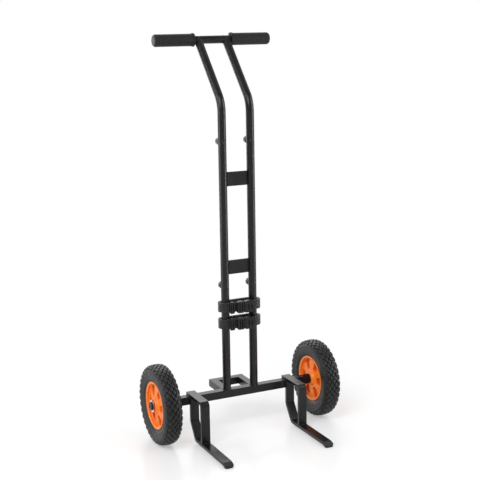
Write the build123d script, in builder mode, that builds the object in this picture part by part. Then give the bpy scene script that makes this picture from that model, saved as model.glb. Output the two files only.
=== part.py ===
import os
from math import cos, hypot, pi, radians, sin

from build123d import *

# A plant caddy: an upright two-wheeled hand truck for plant pots.
# +Z is up, the fork toes point to -Y, and the handle leans back to +Y.
# Left is -X and right is +X, as seen from in front.
# The origin is on the floor, under the middle of the caddy's box.
# Lengths are in millimetres, angles in degrees.

# Wheels
wheel_diameter = 216.0
wheel_width = 48.0
tyre_span = 519.0
tread_depth = 4.5
tread_groove = 1.9
tread_blocks_round = 36
tread_rows = 5
tread_edge_share = 0.25
crown_drop = 2.4
shoulder_angle = 52.0
shoulder_facet = 8.6
shoulder_relief = 2.2
shoulder_margin = 0.3
block_root = 1.5
sidewall_bulge_radius = 90.0
sidewall_ridge_step = 0.6
sidewall_dish_radius = 79.0
sidewall_dish_depth = 2.0
sidewall_foot_height = 4.5
bead_radius = 61.0
bead_width = 31.0
bead_clearance = 0.2

# Rims
rim_lip_thickness = 2.5
rim_lip_height = 3.0
rim_barrel_wall = 3.5
rim_web_thickness = 8.0
spoke_count = 6
spoke_angle = 31.0
spoke_face_at_hub = 14.0
spoke_face_at_barrel = 10.0
pocket_inner_radius = 27.0
pocket_outer_radius = 55.5
pocket_corner = 3.0
pocket_taper = 6.0
hub_radius = 18.5
hub_foot_radius = 22.0
hub_length = 43.0
hub_chamfer = 1.5

# Axles
axle_bolt_diameter = 12.0
axle_head_diameter = 22.5
axle_head_height = 5.4
axle_head_edge = 1.8
axle_socket_across = 8.0
axle_socket_depth = 3.4
axle_washer_diameter = 32.0
axle_washer_thickness = 1.6
bush_diameter = 18.0
bush_length = 12.0
bush_flange_diameter = 27.0
bush_flange_thickness = 1.5
running_clearance = 0.05
running_face_gap = 0.3
spacer_diameter = 28.0
insert_length = 34.0

# Cross beam and foot pedal
beam_side = 22.0
beam_wall = 1.5
beam_length = 384.0
beam_corner = 1.2
pedal_side = 20.0
pedal_wall = 1.0
pedal_width = 102.0
pedal_setback = 100.0

# Uprights, joined end on end by swaged spigots
tube_diameter = 22.0
tube_wall = 1.0
upright_spacing = 81.6
lower_seam_height = 384.0
upper_seam_height = 772.0
spigot_length = 46.0
spigot_clearance = 0.1
seam_bolt_rise = 24.0
bend_height = 898.0
bend_radius = 70.0
handle_height = 1057.0
handle_setback = 144.0

# Flat plates welded between the uprights
plate_height = 38.0
plate_thickness = 4.0
lower_plate_height = 459.0
upper_plate_height = 697.0

# Handle bar and grips
handle_bar_length = 330.0
grip_diameter = 33.0
grip_length = 113.0
grip_lip_diameter = 36.0
grip_lip_length = 4.0
grip_end_chamfer = 2.5
grip_cap_thickness = 2.5
grip_cap_diameter = 28.0
grip_plug_length = 16.0
grip_plug_clearance = 0.1

# Bolts and hand knobs at the seams
bolt_diameter = 8.0
bolt_hole_clearance = 0.2
bolt_head_diameter = 12.0
bolt_head_height = 2.2
knob_diameter = 19.0
knob_length = 14.0
knob_flutes = 8
knob_flute_diameter = 3.6
knob_flute_offset = 0.6
knob_edge = 0.9
knob_bore_depth = 10.0
knob_clearance = 0.1

# Forks, each of two flat bars
fork_spacing = 290.0
fork_bar_width = 24.0
fork_bar_thickness = 8.0
toe_reach = 240.0
toe_lift = 5.0
toe_tip_angle = 16.5
toe_tip_chamfer = 4.0
heel_distance = 46.0
heel_radius = 9.0
leg_knee_height = 53.0
leg_knee_radius = 14.0
front_leg_distance = 87.0
front_leg_seat = 0.5
hanger_bend_radius = 10.0
heel_hole_diameter = 6.0
heel_hole_distance = 62.0

# Webbing straps, put away wound round both uprights
strap_width = 25.0
strap_thickness = 1.5
strap_turns = 5
strap_turn_gap = 0.5
strap_clearance = 0.3
strap_samples = 1200
strap_heights = {"lower": 306.0, "upper": 352.0}

# Buckle and slider that close each strap
buckle_height = 32.0
buckle_depth = 9.0
buckle_corner = 4.0
buckle_lip_depth = 3.0
socket_length = 30.0
socket_wall = 1.8
socket_slot_width = 3.0
socket_slot_length = 15.0
socket_slot_places = (-3.0, 6.0)
socket_cavity_height = 24.0
plug_length = 20.0
prong_length = 22.0
prong_thickness = 4.0
catch_length = 7.4
plug_slot_width = 2.5
plug_slot_places = (-3.5, 3.5)
slider_length = 14.0
slider_depth = 3.5
slider_slot_width = 2.0
slider_slot_places = (-3.0, 3.0)
long_slot_length = 22.0
buckle_gap = 0.3
buckle_centre = 3.0
slider_centre = -31.0

# Places worked out from the sizes above
axle_height = wheel_diameter / 2
wheel_centre = (tyre_span - wheel_width) / 2
axle_setback = (toe_reach - handle_setback - grip_lip_diameter / 2) / 2
beam_top = axle_height + beam_side / 2
tube_radius = tube_diameter / 2
upright_x = upright_spacing / 2
sides = {"left": -1, "right": 1}


def place(x, y, z):
    """A point given from the axle's middle line, in the caddy's own frame."""
    return (x, axle_setback + y, z)


def side_plane(x):
    """A plane across X, with the distance behind the axle and the height as its axes."""
    return Plane(place(x, 0, 0), x_dir=(0, 1, 0), z_dir=(1, 0, 0))


def front_plane(y, z=0.0):
    """A plane that faces the front, y behind the axle."""
    return Plane(place(0, y, z), x_dir=(1, 0, 0), z_dir=(0, -1, 0))


def level_plane(z):
    """A level plane with its origin over the axle."""
    return Plane(place(0, 0, z), x_dir=(1, 0, 0), z_dir=(0, 0, 1))


def wheel_section_plane(side):
    """A plane through a wheel's axis: outward along the axle, and radius."""
    centre = place(side * wheel_centre, 0, axle_height)
    return Plane(centre, x_dir=(side, 0, 0), z_dir=(0, -side, 0))


def axle_plane(side, outward):
    """A plane square to the axle, facing outward."""
    centre = place(side * (wheel_centre + outward), 0, axle_height)
    return Plane(centre, x_dir=(0, side, 0), z_dir=(side, 0, 0))


def axle_axis(side):
    """The line that a wheel turns about."""
    return Axis(place(side * wheel_centre, 0, axle_height), (side, 0, 0))


def finish(piece, name):
    """Label one piece and write its file."""
    piece.part.label = name
    export_step(piece.part, f"parts/{name}.step")


# Tyres: a carcass, with rows of diamond blocks round it, every second row set back by half a block
bead_half = bead_width / 2
lip_outer = bead_half + rim_lip_thickness
lip_radius = bead_radius + rim_lip_height
tyre_half = wheel_width / 2
tyre_radius = wheel_diameter / 2
groove_floor = tyre_radius - tread_depth
tread_half_width = (
    tyre_half
    - (shoulder_facet - shoulder_margin) * cos(radians(shoulder_angle))
    - shoulder_relief * sin(radians(shoulder_angle))
)
shoulder_end = (
    tread_half_width + shoulder_facet * cos(radians(shoulder_angle)),
    groove_floor - shoulder_facet * sin(radians(shoulder_angle)),
)
block_length = pi * wheel_diameter / tread_blocks_round
row_pitch = 2 * tread_half_width / (tread_rows + tread_edge_share)


def diamond_block(width, length, height):
    """One tread block, rooted in the carcass, with its middle at the origin."""
    with BuildPart() as block:
        with BuildSketch(Plane.XY.offset(-block_root)):
            with BuildLine():
                Polyline((-width / 2, 0), (0, -length / 2), (width / 2, 0), (0, length / 2), close=True)
            make_face()
        extrude(amount=block_root + height)
    return block.part


def block_row(block, row_offset, radius, tilt, half_step):
    """One row of blocks round the left wheel, a little above the carcass's groove floor."""
    step = 360 / tread_blocks_round
    row_centre = place(-wheel_centre, 0, axle_height)
    seat = Location((row_offset, 0, radius), (0, tilt, 0))
    turns = [Location(row_centre, (step * (count + half_step), 0, 0)) for count in range(tread_blocks_round)]
    return [block.moved(turn * seat) for turn in turns]


tread_blocks = []
for row in range(tread_rows):
    row_offset = (row - (tread_rows - 1) / 2) * row_pitch
    row_height = tread_depth - crown_drop * (row_offset / tread_half_width) ** 2
    block = diamond_block(2 * (row_pitch - tread_groove), block_length - 2 * tread_groove, row_height)
    tread_blocks += block_row(block, row_offset, groove_floor, 0, (row % 2) / 2)
lug = diamond_block(
    shoulder_facet - 2 * shoulder_margin, block_length - 2 * tread_groove, shoulder_relief
)
for end in (-1, 1):
    facet_offset = end * (tread_half_width + shoulder_end[0]) / 2
    facet_radius = (groove_floor + shoulder_end[1]) / 2
    tread_blocks += block_row(lug, facet_offset, facet_radius, end * shoulder_angle, (tread_rows % 2) / 2)


with BuildPart() as left_tyre:
    with BuildSketch(wheel_section_plane(-1)):
        with BuildLine():
            Polyline(
                (0, groove_floor),
                (tread_half_width, groove_floor),
                shoulder_end,
                (tyre_half, sidewall_bulge_radius),
                (tyre_half - sidewall_ridge_step, sidewall_bulge_radius - 2 * sidewall_ridge_step),
                (tyre_half - sidewall_dish_depth, sidewall_dish_radius),
                (lip_outer + sidewall_ridge_step, lip_radius + sidewall_foot_height),
                (bead_half, lip_radius + bead_clearance),
                (bead_half, bead_radius),
                (0, bead_radius),
            )
            mirror(about=Plane.YZ)
        make_face()
    revolve(axis=axle_axis(-1))
    add(tread_blocks)
finish(left_tyre, "left_tyre")

with BuildPart() as right_tyre:
    add(mirror(left_tyre.part, about=Plane.YZ))
finish(right_tyre, "right_tyre")


# Rims: a barrel with a lip on each edge, and a disc with pockets sunk in both faces between its spokes
hub_half = hub_length / 2
bush_radius = bush_diameter / 2
barrel_inner = bead_radius - rim_barrel_wall
pocket_depth = rim_web_thickness / 2 - spoke_face_at_hub


def pocket_outline():
    """One pocket's outline, between two spokes."""
    half = 180 / spoke_count - spoke_angle / 2
    with BuildSketch() as pocket:
        with BuildLine():
            outer = CenterArc((0, 0), pocket_outer_radius, -half, 2 * half)
            inner = CenterArc((0, 0), pocket_inner_radius, -half, 2 * half)
            Line(outer @ 0, inner @ 0)
            Line(outer @ 1, inner @ 1)
        make_face()
        fillet(pocket.vertices(), radius=pocket_corner)
    return pocket.sketch


def make_rim(side):
    with BuildPart() as rim:
        with BuildSketch(wheel_section_plane(side)):
            with BuildLine():
                Polyline(
                    (0, bush_radius),
                    (hub_half, bush_radius),
                    (hub_half, hub_radius - hub_chamfer),
                    (hub_half - hub_chamfer, hub_radius),
                    (spoke_face_at_hub, hub_foot_radius),
                    (spoke_face_at_barrel, barrel_inner - hub_chamfer),
                    (spoke_face_at_barrel + hub_chamfer, barrel_inner),
                    (lip_outer - hub_chamfer, barrel_inner),
                    (lip_outer, barrel_inner + hub_chamfer),
                    (lip_outer, lip_radius),
                    (bead_half, lip_radius),
                    (bead_half, bead_radius),
                    (0, bead_radius),
                )
                mirror(about=Plane.YZ)
            make_face()
        revolve(axis=axle_axis(side))
        for end in (-1, 1):
            with BuildSketch(axle_plane(side, end * spoke_face_at_hub)):
                with PolarLocations(0, spoke_count):
                    add(pocket_outline())
            extrude(amount=end * pocket_depth, taper=pocket_taper, mode=Mode.SUBTRACT)
    return rim


def make_bush(side, outward):
    """A flanged bush pressed into one end of the hub."""
    end = outward * hub_half
    bore = axle_bolt_diameter / 2 + running_clearance
    with BuildPart() as bush:
        with BuildSketch(wheel_section_plane(side)):
            with BuildLine():
                Polyline(
                    (end - outward * bush_length, bore),
                    (end - outward * bush_length, bush_radius),
                    (end, bush_radius),
                    (end, bush_flange_diameter / 2),
                    (end + outward * bush_flange_thickness, bush_flange_diameter / 2),
                    (end + outward * bush_flange_thickness, bore),
                    close=True,
                )
            make_face()
        revolve(axis=axle_axis(side))
    return bush


# Axle bolts, each through a washer, the wheel and a spacer into a threaded insert in the beam's end
washer_face = hub_half + bush_flange_thickness + running_face_gap
head_face = washer_face + axle_washer_thickness
spacer_face = -washer_face
beam_end = beam_length / 2 - wheel_centre
bolt_radius = axle_bolt_diameter / 2


def turned(side, name, start, end, inner, outer, edge=0.0):
    """A plain ring on the axle, from start to end along it."""
    with BuildPart() as ring:
        with BuildSketch(wheel_section_plane(side)):
            with Locations(((start + end) / 2, (inner + outer) / 2)):
                Rectangle(end - start, outer - inner)
        revolve(axis=axle_axis(side))
        if edge:
            rims = ring.edges().filter_by(GeomType.CIRCLE).group_by(SortBy.RADIUS)[-1]
            chamfer(rims, edge)
    finish(ring, name)


for name, side in sides.items():
    rim = make_rim(side)
    finish(rim, f"{name}_wheel_rim")
    outer_bush = make_bush(side, 1)
    finish(outer_bush, f"{name}_outer_bush")
    inner_bush = make_bush(side, -1)
    finish(inner_bush, f"{name}_inner_bush")
    turned(
        side, f"{name}_axle_washer", washer_face, head_face, bolt_radius, axle_washer_diameter / 2
    )
    turned(
        side, f"{name}_wheel_spacer", beam_end, spacer_face, bolt_radius, spacer_diameter / 2, hub_chamfer
    )
    with BuildPart() as axle_bolt:
        with BuildSketch(axle_plane(side, beam_end - insert_length)):
            Circle(bolt_radius)
        extrude(amount=head_face - beam_end + insert_length)
        with BuildSketch(axle_plane(side, head_face)):
            Circle(axle_head_diameter / 2)
        extrude(amount=axle_head_height)
        head_rim = axle_bolt.edges().filter_by(GeomType.CIRCLE).sort_by(Axis.X)[-1 if side > 0 else 0]
        fillet(head_rim, radius=axle_head_edge)
        with BuildSketch(axle_plane(side, head_face + axle_head_height)):
            RegularPolygon(axle_socket_across / 2, 6, major_radius=False)
        extrude(amount=-axle_socket_depth, mode=Mode.SUBTRACT)
    finish(axle_bolt, f"{name}_axle_bolt")
    with BuildPart() as insert:
        with BuildSketch(axle_plane(side, beam_end - insert_length)):
            Rectangle(beam_side - 2 * beam_wall, beam_side - 2 * beam_wall)
            Circle(bolt_radius, mode=Mode.SUBTRACT)
        extrude(amount=insert_length)
    finish(insert, f"{name}_beam_insert")


# Cross beam
with BuildPart() as cross_beam:
    with BuildSketch(side_plane(-beam_length / 2)):
        with Locations((0, axle_height)):
            RectangleRounded(beam_side, beam_side, beam_corner)
            Rectangle(beam_side - 2 * beam_wall, beam_side - 2 * beam_wall, mode=Mode.SUBTRACT)
    extrude(amount=beam_length)
finish(cross_beam, "cross_beam")


# Foot pedal: a square tube bent back in a U, mitred at its two corners
def square_tube():
    """The pedal tube's section."""
    with BuildSketch() as section:
        Rectangle(pedal_side, pedal_side)
        Rectangle(pedal_side - 2 * pedal_wall, pedal_side - 2 * pedal_wall, mode=Mode.SUBTRACT)
    return section.sketch


pedal_arm_x = (pedal_width - pedal_side) / 2


def mitre_plane(side, keep_back):
    """The plane of one mitre, facing away from the piece that it cuts."""
    corner = place(side * pedal_arm_x, pedal_setback - pedal_side / 2, axle_height)
    out = (side, -1, 0) if keep_back else (-side, 1, 0)
    return Plane(corner, z_dir=out)


for name, side in sides.items():
    with BuildPart() as pedal_arm:
        with BuildSketch(Plane(place(side * pedal_arm_x, beam_side / 2, axle_height), z_dir=(0, 1, 0))):
            add(square_tube())
        extrude(amount=pedal_setback - beam_side / 2)
        split(bisect_by=mitre_plane(side, False), keep=Keep.BOTTOM)
    finish(pedal_arm, f"{name}_pedal_arm")

with BuildPart() as pedal_bar:
    bar_start = place(-pedal_width / 2, pedal_setback - pedal_side / 2, axle_height)
    with BuildSketch(Plane(bar_start, z_dir=(1, 0, 0))):
        add(square_tube())
    extrude(amount=pedal_width)
    for side in sides.values():
        split(bisect_by=mitre_plane(side, True), keep=Keep.BOTTOM)
finish(pedal_bar, "pedal_bar")


# Uprights, in three lengths a side
inner_radius = tube_radius - tube_wall
spigot_radius = inner_radius - spigot_clearance
spigot_inner = spigot_radius - tube_wall
hole_radius = bolt_diameter / 2 + bolt_hole_clearance
seam_heights = {"lower": lower_seam_height, "upper": upper_seam_height}


def bolt_hole(side, seam):
    """The hole for one seam's bolt, from front to back through the tube being built."""
    with BuildSketch(front_plane(-tube_diameter, seam + seam_bolt_rise)) as hole:
        with Locations((side * upright_x, 0)):
            Circle(hole_radius)
    extrude(hole.sketch, amount=-2 * tube_diameter, mode=Mode.SUBTRACT)


def straight_upright(side, bottom, seam):
    """A straight tube from bottom up to the seam, with a swaged spigot above it."""
    axis = Axis(place(side * upright_x, 0, 0), (0, 0, 1))
    with BuildPart() as upright:
        with BuildSketch(Plane(place(side * upright_x, 0, 0), x_dir=(1, 0, 0), z_dir=(0, -1, 0))):
            with BuildLine():
                Polyline(
                    (inner_radius, bottom),
                    (tube_radius, bottom),
                    (tube_radius, seam),
                    (spigot_radius, seam),
                    (spigot_radius, seam + spigot_length),
                    (spigot_inner, seam + spigot_length),
                    (spigot_inner, seam - tube_wall),
                    (inner_radius, seam - 2 * tube_wall),
                    close=True,
                )
            make_face()
        revolve(axis=axis)
        bolt_hole(side, seam)
        if bottom > beam_top:
            bolt_hole(side, bottom)
    return upright


for name, side in sides.items():
    lower_upright = straight_upright(side, beam_top, lower_seam_height)
    finish(lower_upright, f"{name}_lower_upright")
    middle_upright = straight_upright(side, lower_seam_height, upper_seam_height)
    finish(middle_upright, f"{name}_middle_upright")
    with BuildPart() as upper_upright:
        with BuildLine(side_plane(side * upright_x)) as rise:
            FilletPolyline(
                (0, upper_seam_height),
                (0, bend_height),
                (handle_setback, handle_height),
                radius=bend_radius,
            )
        with BuildSketch(Plane(rise.line @ 0, z_dir=rise.line % 0)):
            Circle(tube_radius)
            Circle(inner_radius, mode=Mode.SUBTRACT)
        sweep()
        with BuildSketch(side_plane(-handle_bar_length / 2)):
            with Locations((handle_setback, handle_height)):
                Circle(tube_radius)
        extrude(amount=handle_bar_length, mode=Mode.SUBTRACT)
        bolt_hole(side, upper_seam_height)
    finish(upper_upright, f"{name}_upper_upright")


# Cross plates, coped to the round of the uprights
for name, height in {"lower": lower_plate_height, "upper": upper_plate_height}.items():
    with BuildPart() as cross_plate:
        with BuildSketch(front_plane(-plate_thickness / 2, height)):
            Rectangle(upright_spacing, plate_height)
        extrude(amount=-plate_thickness)
        with BuildSketch(level_plane(height - plate_height)):
            with Locations((-upright_x, 0), (upright_x, 0)):
                Circle(tube_radius)
        extrude(amount=2 * plate_height, mode=Mode.SUBTRACT)
    finish(cross_plate, f"{name}_cross_plate")


# Handle bar and its foam grips
with BuildPart() as handle_bar:
    with BuildSketch(side_plane(-handle_bar_length / 2)):
        with Locations((handle_setback, handle_height)):
            Circle(tube_radius)
            Circle(inner_radius, mode=Mode.SUBTRACT)
    extrude(amount=handle_bar_length)
finish(handle_bar, "handle_bar")

bar_end = handle_bar_length / 2
grip_end = bar_end + grip_end_chamfer
grip_start = grip_end - grip_length
plug_radius = inner_radius - grip_plug_clearance
for name, side in sides.items():
    bar_middle = place(0, handle_setback, handle_height)
    bar_section = Plane(bar_middle, x_dir=(side, 0, 0), z_dir=(0, -side, 0))
    with BuildPart() as grip:
        with BuildSketch(bar_section):
            with BuildLine():
                Polyline(
                    (grip_start, tube_radius),
                    (grip_start, grip_lip_diameter / 2),
                    (grip_start + grip_lip_length, grip_lip_diameter / 2),
                    (grip_start + grip_lip_length, grip_diameter / 2),
                    (grip_end - grip_end_chamfer, grip_diameter / 2),
                    (grip_end, grip_diameter / 2 - grip_end_chamfer),
                    (grip_end, tube_radius),
                    close=True,
                )
            make_face()
        revolve(axis=Axis(bar_middle, (side, 0, 0)))
    finish(grip, f"{name}_grip")
    with BuildPart() as grip_cap:
        with BuildSketch(bar_section):
            with BuildLine():
                Polyline(
                    (bar_end - grip_plug_length, 0),
                    (bar_end - grip_plug_length, plug_radius),
                    (bar_end, plug_radius),
                    (bar_end, tube_radius),
                    (grip_end, tube_radius),
                    (grip_end, grip_cap_diameter / 2),
                    (grip_end + grip_cap_thickness / 2, grip_cap_diameter / 2),
                    (grip_end + grip_cap_thickness, tube_radius),
                    (grip_end + grip_cap_thickness, 0),
                    close=True,
                )
            make_face()
        revolve(axis=Axis(bar_middle, (side, 0, 0)))
    finish(grip_cap, f"{name}_grip_cap")


# Seam bolts, with domed heads in front and black hand knobs behind
knob_inner = bolt_diameter / 2 + knob_clearance
dome_radius = ((bolt_head_diameter / 2) ** 2 + bolt_head_height**2) / (2 * bolt_head_height)
for name, side in sides.items():
    for seam_name, seam in seam_heights.items():
        seam_axis = Axis(place(side * upright_x, 0, seam + seam_bolt_rise), (0, 1, 0))
        middle = place(side * upright_x, 0, seam + seam_bolt_rise)
        bolt_section = Plane(middle, x_dir=(0, 1, 0), z_dir=(1, 0, 0))
        with BuildPart() as bolt:
            with BuildSketch(bolt_section):
                with BuildLine():
                    front = -tube_radius - bolt_head_height
                    RadiusArc((front, 0), (-tube_radius, bolt_head_diameter / 2), dome_radius)
                    Polyline(
                        (-tube_radius, bolt_head_diameter / 2),
                        (-tube_radius, bolt_diameter / 2),
                        (tube_radius + knob_bore_depth - knob_clearance, bolt_diameter / 2),
                        (tube_radius + knob_bore_depth - knob_clearance, 0),
                        (front, 0),
                    )
                make_face()
            revolve(axis=seam_axis)
        finish(bolt, f"{name}_{seam_name}_seam_bolt")
        with BuildPart() as knob:
            with BuildSketch(Plane(middle, z_dir=(0, 1, 0)).offset(tube_radius)):
                Circle(knob_diameter / 2)
                with PolarLocations(knob_diameter / 2 + knob_flute_offset, knob_flutes):
                    Circle(knob_flute_diameter / 2, mode=Mode.SUBTRACT)
            extrude(amount=knob_length)
            chamfer(knob.faces().sort_by(Axis.Y)[-1].edges(), length=knob_edge)
            with BuildSketch(Plane(middle, z_dir=(0, 1, 0)).offset(tube_radius)):
                Circle(knob_inner)
            extrude(amount=knob_bore_depth, mode=Mode.SUBTRACT)
        finish(knob, f"{name}_{seam_name}_knob")


# Forks: each has a toe bar bent up to the front of the beam, and a hanger bar from the beam's top
half_bar = fork_bar_thickness / 2
toe_line = toe_lift + half_bar
tip_length = (toe_line - half_bar * cos(radians(toe_tip_angle))) / sin(radians(toe_tip_angle))
rear_leg = -beam_side / 2 - half_bar
hanger_line = beam_top + half_bar
leg_foot = toe_line + half_bar - front_leg_seat


def flat_bar(side, route, radii):
    """A flat bar bent along a route of distances behind the axle and heights."""
    with BuildPart() as bar:
        with BuildSketch(side_plane(side * fork_spacing / 2 - fork_bar_width / 2)):
            with BuildLine() as line:
                FilletPolyline(*route, radius=radii)
            trace(line.line, line_width=fork_bar_thickness)
        extrude(amount=fork_bar_width)
    return bar.part


tip = (half_bar * sin(radians(toe_tip_angle)) - toe_reach, half_bar * cos(radians(toe_tip_angle)))
toe_route = [
    tip,
    (tip[0] + tip_length * cos(radians(toe_tip_angle)), toe_line),
    (-heel_distance, toe_line),
    (rear_leg, leg_knee_height),
    (rear_leg, beam_top),
]
hanger_route = [
    (beam_side / 2, hanger_line),
    (-front_leg_distance, hanger_line),
    (-front_leg_distance, leg_foot),
]
for name, side in sides.items():
    with BuildPart() as toe_bar:
        add(flat_bar(side, toe_route, [tip_length, heel_radius, leg_knee_radius]))
        tip_face = toe_bar.faces().sort_by(Axis.Y)[0]
        chamfer(tip_face.edges().filter_by(Axis.X, reverse=True), length=toe_tip_chamfer)
        with BuildSketch(level_plane(0)):
            with Locations((side * fork_spacing / 2, -heel_hole_distance)):
                Circle(heel_hole_diameter / 2)
        extrude(amount=toe_lift + 2 * fork_bar_thickness, mode=Mode.SUBTRACT)
        with BuildSketch(level_plane(leg_foot)):
            with Locations((side * fork_spacing / 2, -front_leg_distance)):
                Rectangle(fork_bar_width, fork_bar_thickness)
        extrude(amount=fork_bar_thickness, mode=Mode.SUBTRACT)
    finish(toe_bar, f"{name}_toe_bar")
    with BuildPart() as hanger_bar:
        add(flat_bar(side, hanger_route, [hanger_bend_radius]))
    finish(hanger_bar, f"{name}_hanger_bar")


# Straps: each is one length of webbing, wound round both uprights from the inside out
strap_pitch = strap_thickness + strap_turn_gap
first_turn = tube_radius + strap_clearance + strap_thickness / 2
strap_outer = first_turn + (strap_turns - 1) * strap_pitch + strap_thickness / 2


def strap_route(height):
    """The webbing's middle line. Its right bends share one centre, and its left bends another."""
    with BuildLine(level_plane(height)) as route:
        for turn in range(strap_turns):
            bend = first_turn + turn * strap_pitch
            Line((-upright_x, bend), (upright_x, bend))
            ThreePointArc((upright_x, bend), (upright_x + bend, 0), (upright_x, -bend))
            Line((upright_x, -bend), (-upright_x, -bend))
            if turn < strap_turns - 1:
                wide = bend + strap_pitch / 2
                ThreePointArc(
                    (-upright_x, -bend),
                    (-upright_x - wide, strap_pitch / 2),
                    (-upright_x, bend + strap_pitch),
                )
    return route.wire()


def least_gap(route):
    """The least gap between two turns of a strap, measured on points along its route."""
    points = [route @ (index / strap_samples) for index in range(strap_samples + 1)]
    skip = int(strap_samples * pi * first_turn / route.length)
    least = min(
        hypot(one.X - other.X, one.Y - other.Y)
        for index, one in enumerate(points)
        for other in points[index + skip :]
    )
    return least - strap_thickness


for name, height in strap_heights.items():
    route = strap_route(height)
    with BuildPart() as webbing:
        add(route)
        with BuildSketch(Plane(route @ 0, x_dir=(0, 0, 1), z_dir=route % 0)):
            Rectangle(strap_width, strap_thickness)
        sweep(path=route)
    finish(webbing, f"{name}_strap_webbing")
print(f"each strap is {route.length:.0f} mm long, and its turns are {least_gap(route):.2f} mm apart")


# Buckles and sliders, each lipped over the edges of the outer turns
buckle_back = strap_outer + buckle_gap
lip_thickness = (buckle_height - strap_width) / 2 - buckle_gap
socket_middle = buckle_centre + (buckle_gap + socket_length) / 2
plug_middle = buckle_centre - (buckle_gap + plug_length) / 2
cavity_depth = buckle_depth - 2 * socket_wall
cavity_length = prong_length + buckle_gap
prong_middle = buckle_centre + prong_length / 2 - buckle_gap
prong_offset = (socket_cavity_height - prong_thickness) / 2 - buckle_gap
catch_reach = (buckle_height - socket_cavity_height) / 2
catch_middle = buckle_centre + prong_length - catch_length


def lipped_body(length, depth, middle, height):
    """A rounded body in front of the strap, with a lip behind it over each edge of the webbing."""
    back = front_plane(-buckle_back, height)
    with BuildSketch(back) as body:
        with Locations((middle, 0)):
            RectangleRounded(length, buckle_height, buckle_corner)
    extrude(body.sketch, amount=depth)
    with BuildSketch(back) as lips:
        with Locations(*[(middle, end * (buckle_height - lip_thickness) / 2) for end in (-1, 1)]):
            Rectangle(length - 2 * buckle_corner, lip_thickness)
    extrude(lips.sketch, amount=-buckle_lip_depth)


def cut_slots(places, width, length, depth, height, start=0.0):
    """Upright slots cut to a depth, starting in front of the strap."""
    with BuildSketch(front_plane(-buckle_back - start, height)) as slots:
        with Locations(*[(place_x, 0) for place_x in places]):
            SlotOverall(length, width, rotation=90)
    extrude(slots.sketch, amount=depth, mode=Mode.SUBTRACT)


for name, height in strap_heights.items():
    inside = front_plane(-buckle_back - socket_wall, height)
    with BuildPart() as socket:
        lipped_body(socket_length, buckle_depth, socket_middle, height)
        with BuildSketch(inside):
            with Locations((buckle_centre + cavity_length / 2, 0)):
                Rectangle(cavity_length, socket_cavity_height)
            with Locations((catch_middle, 0)):
                Rectangle(catch_length + 2 * buckle_gap, 2 * buckle_height)
        extrude(amount=cavity_depth, mode=Mode.SUBTRACT)
        slots = [socket_middle + place_x for place_x in socket_slot_places]
        front_wall = buckle_depth - socket_wall
        cut_slots(slots, socket_slot_width, socket_slot_length, socket_wall, height, front_wall)
    finish(socket, f"{name}_buckle_socket")
    with BuildPart() as plug:
        lipped_body(plug_length, buckle_depth - socket_wall, plug_middle, height)
        slots = [plug_middle + place_x for place_x in plug_slot_places]
        cut_slots(slots, plug_slot_width, long_slot_length, buckle_depth, height)
        with BuildSketch(front_plane(-buckle_back - socket_wall - buckle_gap, height)):
            for end in (-1, 1):
                with Locations((prong_middle, end * prong_offset)):
                    Rectangle(prong_length, prong_thickness)
                with Locations((catch_middle, end * (socket_cavity_height / 2 - buckle_gap))):
                    Rectangle(catch_length, 2 * (catch_reach - buckle_gap))
            with Locations((prong_middle, 0)):
                Rectangle(prong_length, prong_thickness)
        extrude(amount=cavity_depth - 2 * buckle_gap)
    finish(plug, f"{name}_buckle_plug")
    with BuildPart() as slider:
        lipped_body(slider_length, slider_depth, slider_centre, height)
        slots = [slider_centre + place_x for place_x in slider_slot_places]
        cut_slots(slots, slider_slot_width, long_slot_length, slider_depth, height)
    finish(slider, f"{name}_strap_slider")
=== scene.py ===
from math import atan2, ceil, cos, pi, radians, sin

import bpy
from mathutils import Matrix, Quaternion, Vector

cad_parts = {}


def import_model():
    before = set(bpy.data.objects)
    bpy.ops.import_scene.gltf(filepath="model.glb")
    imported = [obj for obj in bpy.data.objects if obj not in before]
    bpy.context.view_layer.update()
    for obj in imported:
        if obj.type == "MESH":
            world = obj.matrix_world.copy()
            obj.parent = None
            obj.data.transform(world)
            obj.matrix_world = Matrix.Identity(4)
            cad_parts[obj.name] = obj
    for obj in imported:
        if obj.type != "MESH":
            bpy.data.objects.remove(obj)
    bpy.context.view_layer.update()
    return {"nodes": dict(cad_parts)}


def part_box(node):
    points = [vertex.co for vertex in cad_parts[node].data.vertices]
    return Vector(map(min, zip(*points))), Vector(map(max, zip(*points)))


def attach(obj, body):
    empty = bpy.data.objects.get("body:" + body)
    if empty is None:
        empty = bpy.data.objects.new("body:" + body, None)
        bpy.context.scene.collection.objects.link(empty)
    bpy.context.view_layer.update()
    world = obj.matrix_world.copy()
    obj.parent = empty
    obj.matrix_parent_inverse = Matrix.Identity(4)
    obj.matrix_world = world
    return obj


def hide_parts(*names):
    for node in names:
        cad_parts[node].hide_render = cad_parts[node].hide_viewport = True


MM = 0.001

# The wheel's sizes, in millimetres as in the part's source
WHEEL_RADIUS = 108.0
WHEEL_HALF = 24.0
WHEEL_CENTRE = 235.5
AXLE_BACK = 39.0
AXLE_HEIGHT = 108.0
GROOVE_FLOOR = 103.5
TREAD_DEPTH = 4.5
TREAD_HALF = 17.16
TREAD_ROWS = 5
TREAD_EDGE_SHARE = 0.25
BLOCKS_ROUND = 36
BLOCK_GROOVE = 1.7
BLOCK_ROOT = 1.0
BLOCK_BEVEL = 0.75
BLOCK_TOP_SHARE = 0.45
LUG_BEVEL = 0.4
LUG_MARGIN = 0.3
CROWN_DROP = 2.4
SHOULDER_ANGLE = radians(52.0)
SHOULDER_FACET = 8.6
SHOULDER_RELIEF = 2.2

# The frame's places that the weld beads need
HANDLE_HEIGHT = 1057.0
HANDLE_SETBACK = 144.0
BEND_HEIGHT = 898.0
HANDLE_RISE = HANDLE_HEIGHT - BEND_HEIGHT
FORK_THICKNESS = 8.0
LEG_SEAT = 0.5

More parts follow.
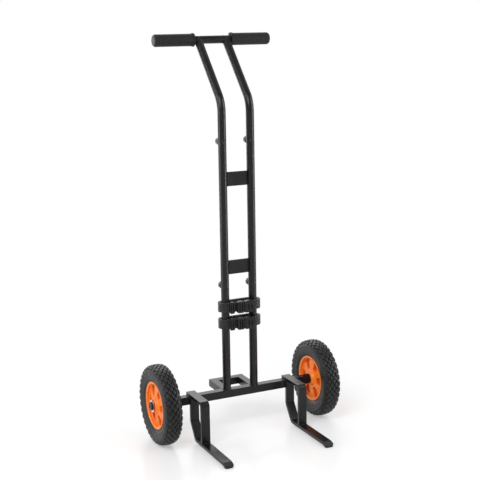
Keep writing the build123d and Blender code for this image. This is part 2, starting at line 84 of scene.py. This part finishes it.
# Weld beads, in millimetres: radii, and the rippled surface that they share
BAR_BEAD = 1.3
UPRIGHT_BEAD = 1.4
HANDLE_BEAD = 1.2
PEDAL_BEAD = 1.1
BEAD_STEP = 0.6
BEAD_RIPPLE = 2.4
PLATE_INSET = 2.4

# The straps, wound round both uprights
TUBE_RADIUS = 11.0
STRAP_WIDTH = 25.0
STRAP_THICKNESS = 1.5
STRAP_TURNS = 5
STRAP_PITCH = 2.0
STRAP_CLEARANCE = 0.3
STRAP_HEIGHTS = {"lower": 306.0, "upper": 352.0}
WEAVE_PITCH = 1.1
UV_SPAN = 100.0

# Camera, solved from the photograph's upright caddy, then moved in along its own line of sight
CAMERA_PLACE = Vector((-1.171, -2.461, 1.092))
CAMERA_AIM = Vector((0.006, 0.039, 0.530))
CAMERA_LENS = 79.0
CAMERA_ROLL = radians(-0.97)

# Lamps as (place, power, size) and reflector cards as (place, width, strength), in metres
LAMP_AIM = Vector((0, 0.04, 0.5))
LAMPS = {
    "key": ((-1.9, -1.7, 2.6), 58.0, 1.6),
    "fill": ((2.4, -1.6, 1.5), 26.0, 1.8),
    "back": ((0.9, 2.6, 2.2), 30.0, 1.6),
}
CARD_HEIGHT = 2.4
CARDS = {
    "left_card": ((-1.86, 0.35, 0.01), 0.30, 11.0),
    "right_card": ((1.60, -1.02, 0.01), 0.34, 12.0),
    "back_card": ((-0.5, 1.9, 0.01), 0.30, 6.0),
}
WORLD_LIGHT = 0.55
SWEEP_START = -0.35
SWEEP_END = 0.25
SWEEP_LOW = 0.22

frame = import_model()
nodes = frame["nodes"]


# Node helpers
class Shader:
    """A material that is built up node by node around one Principled shader."""

    def __init__(self, name):
        self.material = bpy.data.materials.new(name)
        self.material.use_nodes = True
        self.tree = self.material.node_tree
        self.shader = self.tree.nodes["Principled BSDF"]

    def add(self, kind, inputs=None, **settings):
        """A new node, with its settings and its input sockets filled by value or by link."""
        node = self.tree.nodes.new(kind)
        for key, value in settings.items():
            setattr(node, key, value)
        for key, value in (inputs or {}).items():
            if isinstance(value, bpy.types.NodeSocket):
                self.tree.links.new(value, node.inputs[key])
            else:
                node.inputs[key].default_value = value
        return node

    def math(self, operation, one, two=0.0):
        return self.add("ShaderNodeMath", {0: one, 1: two}, operation=operation).outputs[0]

    def span(self, value, low, high, new_low, new_high):
        """A value carried from one span to another, and held inside it."""
        sockets = {"Value": value, "From Min": low, "From Max": high, "To Min": new_low, "To Max": new_high}
        return self.add("ShaderNodeMapRange", sockets).outputs["Result"]

    def blend(self, factor, one, two):
        node = self.add("ShaderNodeMix", data_type="RGBA")
        for socket, value in ((node.inputs["Factor"], factor), (node.inputs[6], one), (node.inputs[7], two)):
            if isinstance(value, bpy.types.NodeSocket):
                self.tree.links.new(value, socket)
            else:
                socket.default_value = value
        return node.outputs[2]

    def noise(self, scale, detail=3.0, stretch=(1, 1, 1)):
        """Noise in the object's own space, with its scale in waves per metre."""
        where = self.add("ShaderNodeTexCoord").outputs["Object"]
        where = self.add("ShaderNodeMapping", {"Vector": where, "Scale": stretch}).outputs[0]
        sockets = {"Vector": where, "Scale": scale, "Detail": detail, "Roughness": 0.55}
        return self.add("ShaderNodeTexNoise", sockets).outputs["Fac"]

    def link(self, value, socket):
        self.tree.links.new(value, self.shader.inputs[socket])

    def bump(self, height, distance, strength=1.0, round_edges=0.0):
        """A bump of a real height in metres, over edges rounded by a small radius."""
        sockets = {"Height": height, "Distance": distance, "Strength": strength}
        if round_edges:
            rounded = self.add("ShaderNodeBevel", {"Radius": round_edges}, samples=4)
            sockets["Normal"] = rounded.outputs[0]
        self.link(self.add("ShaderNodeBump", sockets).outputs[0], "Normal")


def grey(value, tint=(1.0, 1.0, 1.0)):
    return (value * tint[0], value * tint[1], value * tint[2], 1.0)


def powder_coat():
    """Black satin powder coat: fine orange peel, patchy gloss, and paler rubbed edges."""
    s = Shader("frame_coat")
    s.shader.inputs["Specular IOR Level"].default_value = 0.32
    patches = s.noise(38, 4)
    rounded = s.add("ShaderNodeBevel", {"Radius": 0.0009}, samples=4).outputs[0]
    flat = s.add("ShaderNodeNewGeometry").outputs["Normal"]
    alike = s.add("ShaderNodeVectorMath", {0: rounded, 1: flat}, operation="DOT_PRODUCT").outputs["Value"]
    edge = s.span(alike, 0.985, 0.90, 0.0, 1.0)
    rubbed = s.math("MULTIPLY", edge, s.span(s.noise(160, 3), 0.45, 0.62, 0.1, 0.8))
    base = s.blend(s.span(patches, 0.3, 0.7, 0.0, 1.0), grey(0.0045), grey(0.0085, (1, 1, 1.04)))
    s.link(s.blend(rubbed, base, grey(0.045)), "Base Color")
    s.link(s.span(patches, 0.3, 0.7, 0.26, 0.34), "Roughness")
    s.bump(s.noise(1100, 2), 0.00003, 0.45, 0.0006)
    return s.material


def rubber():
    """Charcoal rubber, matt, a little dusty, with a fine moulded grain."""
    s = Shader("tyre_rubber")
    s.shader.inputs["Specular IOR Level"].default_value = 0.34
    patches = s.noise(55, 5)
    grain = s.noise(900, 4)
    base = s.blend(s.span(patches, 0.3, 0.7, 0.0, 1.0), grey(0.008), grey(0.0145, (1.0, 1.0, 1.03)))
    s.link(s.blend(s.span(grain, 0.55, 0.75, 0.0, 0.35), base, grey(0.035)), "Base Color")
    s.link(s.span(patches, 0.3, 0.7, 0.42, 0.56), "Roughness")
    s.bump(grain, 0.00012, 0.5)
    return s.material


def rim_plastic():
    """Orange moulded plastic, satin, a touch uneven in tone and gloss, with painted shade darkening its
    pockets and recesses.
    """
    s = Shader("rim_plastic")
    patches = s.noise(32, 3)
    base = s.blend(s.span(patches, 0.3, 0.7, 0.0, 1.0), (1.0, 0.195, 0.006, 1), (1.0, 0.26, 0.014, 1))
    # Painted shade: ambient occlusion blends the pockets and other recesses toward a deep, dark orange.
    ao_for_painted_shade = s.add("ShaderNodeAmbientOcclusion", {"Distance": 0.022}, samples=8).outputs["AO"]
    s.link(s.blend(s.span(ao_for_painted_shade, 0.22, 0.66, 0.0, 1.0), (0.50, 0.035, 0.001, 1), base), "Base Color")
    s.link(s.span(s.noise(120, 3), 0.3, 0.7, 0.34, 0.46), "Roughness")
    s.shader.inputs["Specular IOR Level"].default_value = 0.4
    s.bump(s.noise(1100, 2), 0.00004, 0.5, 0.0006)
    return s.material


def zinc():
    """Bright zinc plate with a faint turned grain and a cloudy gloss."""
    s = Shader("zinc_plate")
    s.shader.inputs["Metallic"].default_value = 1.0
    clouds = s.noise(220, 4)
    s.link(
        s.blend(s.span(clouds, 0.35, 0.65, 0.0, 1.0), grey(0.50, (1, 1.01, 1.04)), grey(0.70)),
        "Base Color",
    )
    s.link(s.span(clouds, 0.3, 0.7, 0.20, 0.36), "Roughness")
    s.bump(s.noise(1500, 2, (0.15, 1, 1)), 0.00003, 0.6, 0.0004)
    return s.material


def hardware():
    """Blackened bolt steel with a dull sheen and paler patches at random."""
    s = Shader("black_hardware")
    s.shader.inputs["Metallic"].default_value = 0.35
    clouds = s.noise(260, 4)
    s.link(s.blend(s.span(clouds, 0.4, 0.7, 0.0, 1.0), grey(0.012), grey(0.030)), "Base Color")
    s.link(s.span(clouds, 0.3, 0.7, 0.28, 0.42), "Roughness")
    s.bump(s.noise(1400, 2), 0.00004, 0.5, 0.0004)
    return s.material


def plastic(name, low, high, gloss, grain):
    """Moulded plastic with a fine spark texture."""
    s = Shader(name)
    clouds = s.noise(90, 3)
    s.link(s.blend(s.span(clouds, 0.3, 0.7, 0.0, 1.0), grey(low), grey(high)), "Base Color")
    s.shader.inputs["Specular IOR Level"].default_value = 0.26
    s.link(s.span(clouds, 0.3, 0.7, gloss, gloss + 0.12), "Roughness")
    s.bump(s.noise(grain, 3), 0.00005, 0.6, 0.0004)
    return s.material


def foam():
    """Closed cell foam: matt, with small open pores and a soft sheen."""
    s = Shader("grip_foam")
    s.shader.inputs["Sheen Weight"].default_value = 0.10
    s.shader.inputs["Sheen Roughness"].default_value = 0.5
    s.shader.inputs["Specular IOR Level"].default_value = 0.20
    where = s.add("ShaderNodeTexCoord").outputs["Object"]
    cells = s.add("ShaderNodeTexVoronoi", {"Vector": where, "Scale": 850.0}).outputs["Distance"]
    soft = s.noise(420, 4)
    height = s.math("ADD", s.math("MULTIPLY", cells, 0.6), soft)
    s.link(s.blend(s.span(soft, 0.35, 0.65, 0.0, 1.0), grey(0.006), grey(0.013)), "Base Color")
    s.link(s.span(cells, 0.0, 0.6, 0.86, 0.62), "Roughness")
    s.bump(height, 0.00012, 0.6)
    return s.material


def webbing_weave():
    """Woven polyester: the weave follows the strap, from its own length and width."""
    s = Shader("strap_webbing")
    s.shader.inputs["Sheen Weight"].default_value = 0.3
    s.shader.inputs["Sheen Roughness"].default_value = 0.4
    s.shader.inputs["Specular IOR Level"].default_value = 0.35
    where = s.add("ShaderNodeSeparateXYZ", {0: s.add("ShaderNodeTexCoord").outputs["UV"]})
    turn = 2 * pi / WEAVE_PITCH * UV_SPAN
    along = s.math("SINE", s.math("MULTIPLY", where.outputs["X"], turn))
    across = s.math("SINE", s.math("MULTIPLY", where.outputs["Y"], turn * 0.75))
    weave = s.span(s.math("MULTIPLY", along, across), -1.0, 1.0, 0.0, 1.0)
    fuzz = s.noise(700, 4)
    s.link(s.blend(weave, grey(0.005), grey(0.018)), "Base Color")
    s.link(s.span(fuzz, 0.3, 0.7, 0.46, 0.62), "Roughness")
    s.bump(s.math("ADD", weave, s.math("MULTIPLY", fuzz, 0.4)), 0.00018, 0.8)
    return s.material


looks = {
    "frame_coat": powder_coat(),
    "tyre_rubber": rubber(),
    "rim_plastic": rim_plastic(),
    "zinc_plate": zinc(),
    "black_hardware": hardware(),
    "bush_nylon": plastic("bush_nylon", 0.035, 0.055, 0.40, 900),
    "black_plastic": plastic("black_plastic", 0.006, 0.012, 0.32, 1200),
    "cap_plastic": plastic("cap_plastic", 0.04, 0.06, 0.42, 1000),
    "grip_foam": foam(),
    "strap_webbing": webbing_weave(),
}
node_slots = {
    "tyre": "tyre_rubber",
    "wheel_rim": "rim_plastic",
    "outer_bush": "bush_nylon",
    "inner_bush": "bush_nylon",
    "axle_washer": "zinc_plate",
    "wheel_spacer": "black_plastic",
    "axle_bolt": "black_hardware",
    "beam_insert": "black_hardware",
    "seam_bolt": "black_hardware",
    "knob": "black_plastic",
    "buckle_socket": "black_plastic",
    "buckle_plug": "black_plastic",
    "strap_slider": "black_plastic",
    "grip": "grip_foam",
    "grip_cap": "cap_plastic",
    "strap_webbing": "strap_webbing",
}
for name, node in nodes.items():
    endings = [ending for ending in node_slots if name.endswith(ending)]
    slot = node_slots[max(endings, key=len)] if endings else "frame_coat"
    node.data.materials.clear()
    node.data.materials.append(looks[slot])


def new_piece(name, points, faces, slot, body, uvs=None, angle=35.0):
    """A mesh piece from points in millimetres, smooth but for its sharper edges."""
    mesh = bpy.data.meshes.new(name)
    mesh.from_pydata([Vector(p) * MM for p in points], [], faces)
    if uvs:
        layer = mesh.uv_layers.new(name="UVMap")
        for loop in mesh.loops:
            layer.data[loop.index].uv = uvs[loop.vertex_index]
    mesh.validate()
    mesh.shade_smooth()
    mesh.set_sharp_from_angle(angle=radians(angle))
    mesh.materials.append(looks[slot])
    piece = bpy.data.objects.new(name, mesh)
    bpy.context.scene.collection.objects.link(piece)
    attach(piece, body)
    return piece


# Tyres: a turned carcass with ribs on its sides, and bevelled tread blocks
def rounded_profile(corners):
    """A closed section from (x, radius, rounding) corners, with each corner cut to a short arc."""
    points = []
    count = len(corners)
    for index, (x, r, rounding) in enumerate(corners):
        here = Vector((x, r))
        before = Vector(corners[index - 1][:2]) - here
        after = Vector(corners[(index + 1) % count][:2]) - here
        if not rounding:
            points.append(here)
            continue
        reach_before = min(rounding, before.length * 0.45)
        reach_after = min(rounding, after.length * 0.45)
        start = here + before.normalized() * reach_before
        end = here + after.normalized() * reach_after
        for step in range(5):
            t = step / 4
            points.append(start * (1 - t) ** 2 + here * 2 * t * (1 - t) + end * t**2)
    return points


def carcass(points, faces):
    """The tyre without its tread, turned round the axle."""
    half = [
        (0.0, GROOVE_FLOOR, 0),
        (TREAD_HALF, GROOVE_FLOOR, 2.0),
        (22.45, 96.7, 2.4),
        (23.75, 91.6, 0.9),
        (23.75, 89.9, 0.7),
        (23.1, 88.6, 0.7),
        (22.75, 85.2, 0.5),
        (23.15, 84.4, 0.4),
        (23.1, 83.4, 0.4),
        (22.3, 82.4, 0.6),
        (21.85, 76.5, 2.0),
        (20.3, 71.2, 1.4),
        (18.7, 68.6, 0.8),
        (17.6, 66.6, 0.7),
        (15.6, 64.35, 0.4),
        (15.5, 61.0, 0.3),
    ]
    section = rounded_profile(half + [(-x, r, rounding) for x, r, rounding in reversed(half[1:])])
    rounds = 180
    first = len(points)
    for turn in range(rounds):
        angle = 2 * pi * turn / rounds
        for x, r in section:
            points.append((x, r * sin(angle), r * cos(angle)))
    wide = len(section)
    for turn in range(rounds):
        here = first + turn * wide
        there = first + (turn + 1) % rounds * wide
        for index in range(wide):
            after = (index + 1) % wide
            faces.append((here + index, here + after, there + after, there + index))


def diamond_outline(half_width, half_length, rounding, cut_edges=3):
    """A diamond with short rounded corners, going round once."""
    corners = [Vector((half_width, 0)), Vector((0, half_length))]
    corners += [Vector((-half_width, 0)), Vector((0, -half_length))]
    outline = []
    for index, corner in enumerate(corners):
        before = corners[index - 1] - corner
        after = corners[(index + 1) % 4] - corner
        start = corner + before.normalized() * rounding
        end = corner + after.normalized() * rounding
        for t in (0.0, 0.5, 1.0):
            outline.append(start * (1 - t) ** 2 + corner * 2 * t * (1 - t) + end * t**2)
        next_start = corners[(index + 1) % 4] - after.normalized() * rounding
        for cut in range(1, cut_edges):
            outline.append(end.lerp(next_start, cut / cut_edges))
    return outline


def tread_block(points, faces, half_width, half_length, height, root, seat, bevel=BLOCK_BEVEL):
    """One bevelled block; seat carries (across, along, up) to the tyre's own space."""
    first = len(points)
    rings = [(0.55, -root), (0.22, height * 0.35), (0.02, height - bevel)]
    rings += [(-0.37 * bevel, height - 0.3 * bevel), (-bevel, height)]
    for outward, level in rings:
        for p in diamond_outline(half_width + outward, half_length + outward * 1.15, 1.0):
            points.append(seat(p.x, p.y, level))
    top_width = (half_width - bevel) * BLOCK_TOP_SHARE
    top_length = (half_length - 1.15 * bevel) * BLOCK_TOP_SHARE
    for p in diamond_outline(top_width, top_length, 0.4):
        points.append(seat(p.x, p.y, height))
    points.append(seat(0.0, 0.0, height))
    count = len(diamond_outline(half_width, half_length, 1.0))
    levels = len(rings) + 1
    for level in range(levels - 1):
        for index in range(count):
            after = (index + 1) % count
            low = first + level * count
            high = low + count
            faces.append((low + index, low + after, high + after, high + index))
    top = first + (levels - 1) * count
    middle = first + levels * count
    for index in range(count):
        faces.append((top + index, top + (index + 1) % count, middle))


def crown_seat(row_offset, centre_angle, radius):
    """Carries a crown block onto the drum, which falls away toward its shoulders."""

    def seat(across, along, up):
        x = row_offset + across
        drop = CROWN_DROP * (x / TREAD_HALF) ** 2 if up > 0 else 0.0
        r = radius + up - drop
        angle = centre_angle + along / radius
        return (x, r * sin(angle), r * cos(angle))

    return seat


def shoulder_seat(end, centre_angle):
    """Carries a lug onto the sloping shoulder facet."""
    middle_x = TREAD_HALF + SHOULDER_FACET * cos(SHOULDER_ANGLE) / 2
    middle_r = GROOVE_FLOOR - SHOULDER_FACET * sin(SHOULDER_ANGLE) / 2

    def seat(across, along, up):
        x = middle_x + across * cos(SHOULDER_ANGLE) + up * sin(SHOULDER_ANGLE)
        r = middle_r - across * sin(SHOULDER_ANGLE) + up * cos(SHOULDER_ANGLE)
        x = min(x, WHEEL_HALF)
        angle = centre_angle + along / GROOVE_FLOOR
        return (end * x, r * sin(angle), r * cos(angle))

    return seat


def tyre(side_name, side):
    """One tyre with its tread and shoulder lugs, in place of the part's own."""
    points = []
    faces = []
    carcass(points, faces)
    pitch = 2 * TREAD_HALF / (TREAD_ROWS + TREAD_EDGE_SHARE)
    block_length = 2 * pi * WHEEL_RADIUS / BLOCKS_ROUND
    step = 2 * pi / BLOCKS_ROUND
    block_width = pitch - BLOCK_GROOVE
    block_reach = block_length / 2 - BLOCK_GROOVE * 0.8
    lug_width = SHOULDER_FACET / 2 - LUG_MARGIN
    lug_reach = block_length / 2 - BLOCK_GROOVE
    for row in range(TREAD_ROWS):
        offset = (row - (TREAD_ROWS - 1) / 2) * pitch
        for count in range(BLOCKS_ROUND):
            seat = crown_seat(offset, step * (count + (row % 2) / 2), GROOVE_FLOOR)
            tread_block(points, faces, block_width, block_reach, TREAD_DEPTH, BLOCK_ROOT, seat)
    for end in (-1, 1):
        for count in range(BLOCKS_ROUND):
            seat = shoulder_seat(end, step * (count + (TREAD_ROWS % 2) / 2))
            lug_faces = []
            tread_block(
                points, lug_faces, lug_width, lug_reach, SHOULDER_RELIEF, BLOCK_ROOT, seat, LUG_BEVEL
            )
            faces += lug_faces if end > 0 else [tuple(reversed(face)) for face in lug_faces]
    placed = [(side * WHEEL_CENTRE + x, AXLE_BACK + y, AXLE_HEIGHT + z) for x, y, z in points]
    wheel = f"{side_name}_wheel"
    piece = new_piece(f"{side_name}_tyre_tread", placed, faces, "tyre_rubber", wheel, angle=38)
    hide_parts(f"{side_name}_tyre")


# Straps: the same winding as in the part, with a ribbed section and bound edges
def strap_path():
    """The middle line of one strap seen from above, as points in millimetres."""
    upright = abs(sum(corner.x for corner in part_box("left_lower_upright"))) / 2 / MM
    first_bend = TUBE_RADIUS + STRAP_CLEARANCE + STRAP_THICKNESS / 2
    line = []

    def arc(centre_x, centre_y, radius, start, stop):
        steps = 40
        for index in range(1, steps):
            angle = start + (stop - start) * index / steps
            line.append(Vector((centre_x + radius * cos(angle), centre_y + radius * sin(angle))))

    def run(start, stop):
        steps = 24
        for index in range(steps + 1):
            line.append(Vector(start).lerp(Vector(stop), index / steps))

    for turn in range(STRAP_TURNS):
        bend = first_bend + turn * STRAP_PITCH
        run((-upright, bend), (upright, bend))
        arc(upright, 0, bend, pi / 2, -pi / 2)
        run((upright, -bend), (-upright, -bend))
        if turn < STRAP_TURNS - 1:
            arc(-upright, STRAP_PITCH / 2, bend + STRAP_PITCH / 2, 3 * pi / 2, pi / 2)
    return line


def strap_section():
    """The strap's whole section as (across, thickness): bound edges and shallow ribs."""
    half = STRAP_WIDTH / 2
    thick = STRAP_THICKNESS / 2
    upper = [(-half, 0.0), (-half + 0.12, thick * 0.72), (-half + 0.45, thick), (-half + 1.5, thick)]
    ribs = 14
    first = -half + 2.0
    for index in range(ribs * 2 + 1):
        across = first + (2 * half - 4.0) * index / (ribs * 2)
        upper.append((across, thick - (0.16 if index % 2 == 0 else 0.04)))
    upper += [(half - 1.5, thick), (half - 0.45, thick), (half - 0.12, thick * 0.72), (half, 0.0)]
    lower = [(across, -t) for across, t in reversed(upper[1:-1])]
    return upper + lower


def strap(name, height):
    """One wound strap, swept along its path, in place of the part's own."""
    line = strap_path()
    section = strap_section()
    wide = len(section)
    points = []
    uvs = []
    faces = []
    gone = 0.0
    for index, place in enumerate(line):
        if index:
            gone += (place - line[index - 1]).length
        before = line[max(index - 1, 0)]
        after = line[min(index + 1, len(line) - 1)]
        along = (after - before).normalized()
        side = Vector((-along.y, along.x))
        for across, thick in section:
            where = place + side * thick
            points.append((where.x, AXLE_BACK + where.y, height + across))
            uvs.append((gone / UV_SPAN, across / UV_SPAN))
        if index:
            low = (index - 1) * wide
            high = index * wide
            for k in range(wide):
                after_k = (k + 1) % wide
                faces.append((low + k, high + k, high + after_k, low + after_k))
    faces.append(tuple(range(wide)))
    last = (len(line) - 1) * wide
    faces.append(tuple(reversed(range(last, last + wide))))
    piece = new_piece(f"{name}_strap_weave", points, faces, "strap_webbing", "caddy", uvs, 60)
    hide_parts(f"{name}_strap_webbing")


# Weld beads: rippled fillets where the frame's bars and tubes meet
def weld_bead(name, path, radius, closed=False):
    """A rippled bead along a path of points, in millimetres."""
    line = [Vector(point) for point in path]
    if closed:
        line.append(line[0])
    stations = []
    gone = 0.0
    for start, stop in zip(line, line[1:]):
        steps = max(1, ceil((stop - start).length / BEAD_STEP))
        for step in range(steps):
            stations.append((start.lerp(stop, step / steps), (stop - start).normalized(), gone))
            gone += (stop - start).length / steps
    if not closed:
        stations.append((line[-1], stations[-1][1], gone))
    around = 10
    points = []
    faces = []
    up = Vector((0.3, 0.5, 0.81))
    for centre, along, distance in stations:
        across = along.cross(up).normalized()
        other = along.cross(across)
        ends = min(distance, gone - distance) / 2.5
        swell = 1.0 if closed else min(1.0, 0.3 + ends)
        size = radius * swell * (1 + 0.10 * sin(2 * pi * distance / BEAD_RIPPLE))
        for k in range(around):
            angle = 2 * pi * k / around
            points.append(centre + (across * cos(angle) + other * sin(angle)) * size)
    count = len(stations)
    for ring in range(count if closed else count - 1):
        for k in range(around):
            low = ring * around
            high = (ring + 1) % count * around
            after = (k + 1) % around
            faces.append((low + k, high + k, high + after, low + after))
    if not closed:
        faces.append(tuple(range(around)))
        faces.append(tuple(reversed(range((count - 1) * around, count * around))))
    new_piece(name, points, faces, "frame_coat", "caddy", angle=60)


def corners(node):
    """The low and high corner of a node's box, in millimetres."""
    low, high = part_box(node)
    return low / MM, high / MM


def ring_path(centre, radius, steps=48):
    """A level circle of points."""
    turns = [2 * pi * step / steps for step in range(steps)]
    return [(centre[0] + radius * cos(t), centre[1] + radius * sin(t), centre[2]) for t in turns]


def saddle_path(centre, lean, radius=TUBE_RADIUS, steps=64):
    """Where a leaning tube runs into a level bar of its own size."""
    along = Vector((0, sin(lean), cos(lean)))
    side = Vector((0, cos(lean), -sin(lean)))
    path = []
    for step in range(steps):
        t = 2 * pi * step / steps
        inward = abs(cos(t)) * (radius + 0.5)
        across = Vector((radius * cos(t), 0, 0))
        path.append(Vector(centre) + across + side * radius * sin(t) - along * inward)
    return path


def frame_welds():
    """Beads on the plates, uprights, handle, forks and pedal."""
    beam_low, beam_high = corners("cross_beam")
    for plate in ("lower_cross_plate", "upper_cross_plate"):
        low, high = corners(plate)
        for side, x, inward in (("left", low.x, PLATE_INSET), ("right", high.x, -PLATE_INSET)):
            for face, y in (("front", low.y), ("back", high.y)):
                path = [(x + inward, y, low.z + 2), (x + inward, y, high.z - 2)]
                weld_bead(f"{plate}_{side}_{face}_weld", path, BAR_BEAD)
    for side in ("left", "right"):
        tube_low, tube_high = corners(f"{side}_lower_upright")
        middle = (tube_low + tube_high) / 2
        ring = ring_path((middle.x, middle.y, beam_high.z), TUBE_RADIUS + 0.3)
        weld_bead(f"{side}_upright_weld", ring, UPRIGHT_BEAD, True)
        lean = atan2(HANDLE_SETBACK, HANDLE_RISE)
        saddle = saddle_path((middle.x, AXLE_BACK + HANDLE_SETBACK, HANDLE_HEIGHT), lean)
        weld_bead(f"{side}_handle_weld", saddle, HANDLE_BEAD, True)
        low, high = corners(f"{side}_hanger_bar")
        leg_back = low.y + FORK_THICKNESS
        toe_top = low.z + LEG_SEAT
        for edge, x in (("outer", low.x), ("inner", high.x)):
            path = [(x, beam_low.y + 1, beam_high.z), (x, beam_high.y - 1, beam_high.z)]
            weld_bead(f"{side}_hanger_{edge}_weld", path, BAR_BEAD)
            path = [(x, beam_low.y, beam_low.z + 2), (x, beam_low.y, beam_high.z - 1)]
            weld_bead(f"{side}_fork_{edge}_weld", path, BAR_BEAD)
        for edge, y in (("front", low.y), ("back", leg_back)):
            path = [(low.x + 1.5, y, toe_top), (high.x - 1.5, y, toe_top)]
            weld_bead(f"{side}_leg_{edge}_weld", path, BAR_BEAD)
        low, high = corners(f"{side}_pedal_arm")
        back = beam_high.y
        for edge, z in (("top", high.z), ("bottom", low.z)):
            path = [(low.x + 1.5, back, z), (high.x - 1.5, back, z)]
            weld_bead(f"{side}_pedal_{edge}_weld", path, PEDAL_BEAD)


for side_name, side in (("left", -1), ("right", 1)):
    tyre(side_name, side)
for strap_name, strap_height in STRAP_HEIGHTS.items():
    strap(strap_name, strap_height)
frame_welds()


# Floor, world and lamps
def floor():
    """A pale floor that keeps the shadow near the object and is plain white further out."""
    mesh = bpy.data.meshes.new("floor")
    reach = 30.0
    points = [(-reach, -reach, 0), (reach, -reach, 0), (reach, reach, 0), (-reach, reach, 0)]
    mesh.from_pydata(points, [], [(0, 1, 2, 3)])
    piece = bpy.data.objects.new("floor", mesh)
    bpy.context.scene.collection.objects.link(piece)
    s = Shader("floor_paint")
    s.shader.inputs["Base Color"].default_value = (0.97, 0.97, 0.97, 1)
    s.shader.inputs["Roughness"].default_value = 0.22
    s.shader.inputs["Specular IOR Level"].default_value = 0.22
    where = s.add("ShaderNodeTexCoord").outputs["Object"]
    away = s.add("ShaderNodeVectorMath", {0: where}, operation="LENGTH").outputs["Value"]
    far = s.span(away, 0.35, 1.1, 0.35, 1.0)
    rays = s.add("ShaderNodeLightPath")
    front = s.add("ShaderNodeSeparateXYZ", {0: where}).outputs["Y"]
    mirrored = s.math("MULTIPLY", rays.outputs["Is Glossy Ray"], s.span(front, -1.2, 0.6, 0.45, 1.0))
    seen = s.math("MAXIMUM", rays.outputs["Is Camera Ray"], mirrored)
    seen = s.math("MAXIMUM", seen, rays.outputs["Is Transmission Ray"])
    white = s.add("ShaderNodeEmission", {"Color": (1, 1, 1, 1), "Strength": 1.0})
    mixed = s.add("ShaderNodeMixShader", {0: s.math("MULTIPLY", far, seen)})
    s.tree.links.new(s.shader.outputs[0], mixed.inputs[1])
    s.tree.links.new(white.outputs[0], mixed.inputs[2])
    s.tree.links.new(mixed.outputs[0], s.tree.nodes["Material Output"].inputs["Surface"])
    mesh.materials.append(s.material)


def world():
    """Even white light, with plain white behind the object."""
    studio = bpy.data.worlds.new("studio")
    studio.use_nodes = True
    tree = studio.node_tree
    tree.nodes.clear()
    rays = tree.nodes.new("ShaderNodeLightPath")
    seen = tree.nodes.new("ShaderNodeMath")
    seen.operation = "MAXIMUM"
    tree.links.new(rays.outputs["Is Camera Ray"], seen.inputs[0])
    tree.links.new(rays.outputs["Is Glossy Ray"], seen.inputs[1])
    through = tree.nodes.new("ShaderNodeMath")
    through.operation = "MAXIMUM"
    tree.links.new(seen.outputs[0], through.inputs[0])
    tree.links.new(rays.outputs["Is Transmission Ray"], through.inputs[1])
    light = tree.nodes.new("ShaderNodeBackground")
    light.inputs["Strength"].default_value = WORLD_LIGHT
    behind = tree.nodes.new("ShaderNodeBackground")
    for background in (light, behind):
        background.inputs["Color"].default_value = (1, 1, 1, 1)
    where = tree.nodes.new("ShaderNodeSeparateXYZ")
    tree.links.new(tree.nodes.new("ShaderNodeTexCoord").outputs["Generated"], where.inputs[0])
    sweep = tree.nodes.new("ShaderNodeMapRange")
    sweep.inputs["From Min"].default_value = SWEEP_START
    sweep.inputs["From Max"].default_value = SWEEP_END
    sweep.inputs["To Min"].default_value = SWEEP_LOW
    tree.links.new(where.outputs["Y"], sweep.inputs["Value"])
    room = tree.nodes.new("ShaderNodeMath")
    room.operation = "MAXIMUM"
    tree.links.new(rays.outputs["Is Camera Ray"], room.inputs[0])
    tree.links.new(sweep.outputs["Result"], room.inputs[1])
    tree.links.new(room.outputs[0], behind.inputs["Strength"])
    mixed = tree.nodes.new("ShaderNodeMixShader")
    tree.links.new(through.outputs[0], mixed.inputs[0])
    tree.links.new(light.outputs[0], mixed.inputs[1])
    tree.links.new(behind.outputs[0], mixed.inputs[2])
    out = tree.nodes.new("ShaderNodeOutputWorld")
    tree.links.new(mixed.outputs[0], out.inputs[0])
    bpy.context.scene.world = studio


def lamp(name, place, power, size):
    """A soft square lamp, turned to the middle of the object."""
    light = bpy.data.lights.new(name, "AREA")
    light.energy = power
    light.size = size
    piece = bpy.data.objects.new(name, light)
    piece.location = place
    piece.rotation_euler = (LAMP_AIM - Vector(place)).to_track_quat("-Z", "Y").to_euler()
    bpy.context.scene.collection.objects.link(piece)


def reflector(name, place, width, height, strength):
    """An upright white card that only glossy surfaces see, for long soft streaks on the tubes."""
    mesh = bpy.data.meshes.new(name)
    half = width / 2
    points = [(-half, 0, 0), (half, 0, 0), (half, 0, height), (-half, 0, height)]
    mesh.from_pydata(points, [], [(0, 1, 2, 3)])
    piece = bpy.data.objects.new(name, mesh)
    piece.location = place
    piece.rotation_euler = (0, 0, atan2(place[0], -place[1]))
    bpy.context.scene.collection.objects.link(piece)
    s = Shader(name)
    card = s.add("ShaderNodeEmission", {"Color": (1, 1, 1, 1), "Strength": strength})
    s.tree.links.new(card.outputs[0], s.tree.nodes["Material Output"].inputs["Surface"])
    mesh.materials.append(s.material)
    for kind in ("camera", "diffuse", "shadow", "transmission", "volume_scatter"):
        setattr(piece, f"visible_{kind}", False)


def camera():
    """The camera of the main view."""
    lens = bpy.data.cameras.new("camera")
    lens.lens = CAMERA_LENS
    lens.sensor_width = 36.0
    lens.clip_end = 100.0
    piece = bpy.data.objects.new("camera", lens)
    piece.location = CAMERA_PLACE
    turned = (CAMERA_AIM - CAMERA_PLACE).to_track_quat("-Z", "Y")
    piece.rotation_euler = (turned @ Quaternion((0, 0, 1), CAMERA_ROLL)).to_euler()
    bpy.context.scene.collection.objects.link(piece)
    bpy.context.scene.camera = piece


floor()
world()
for lamp_name, (place, power, size) in LAMPS.items():
    lamp(lamp_name, place, power, size)
for card_name, (place, width, strength) in CARDS.items():
    reflector(card_name, place, width, CARD_HEIGHT, strength)
camera()
bpy.context.scene.view_settings.view_transform = "Standard"
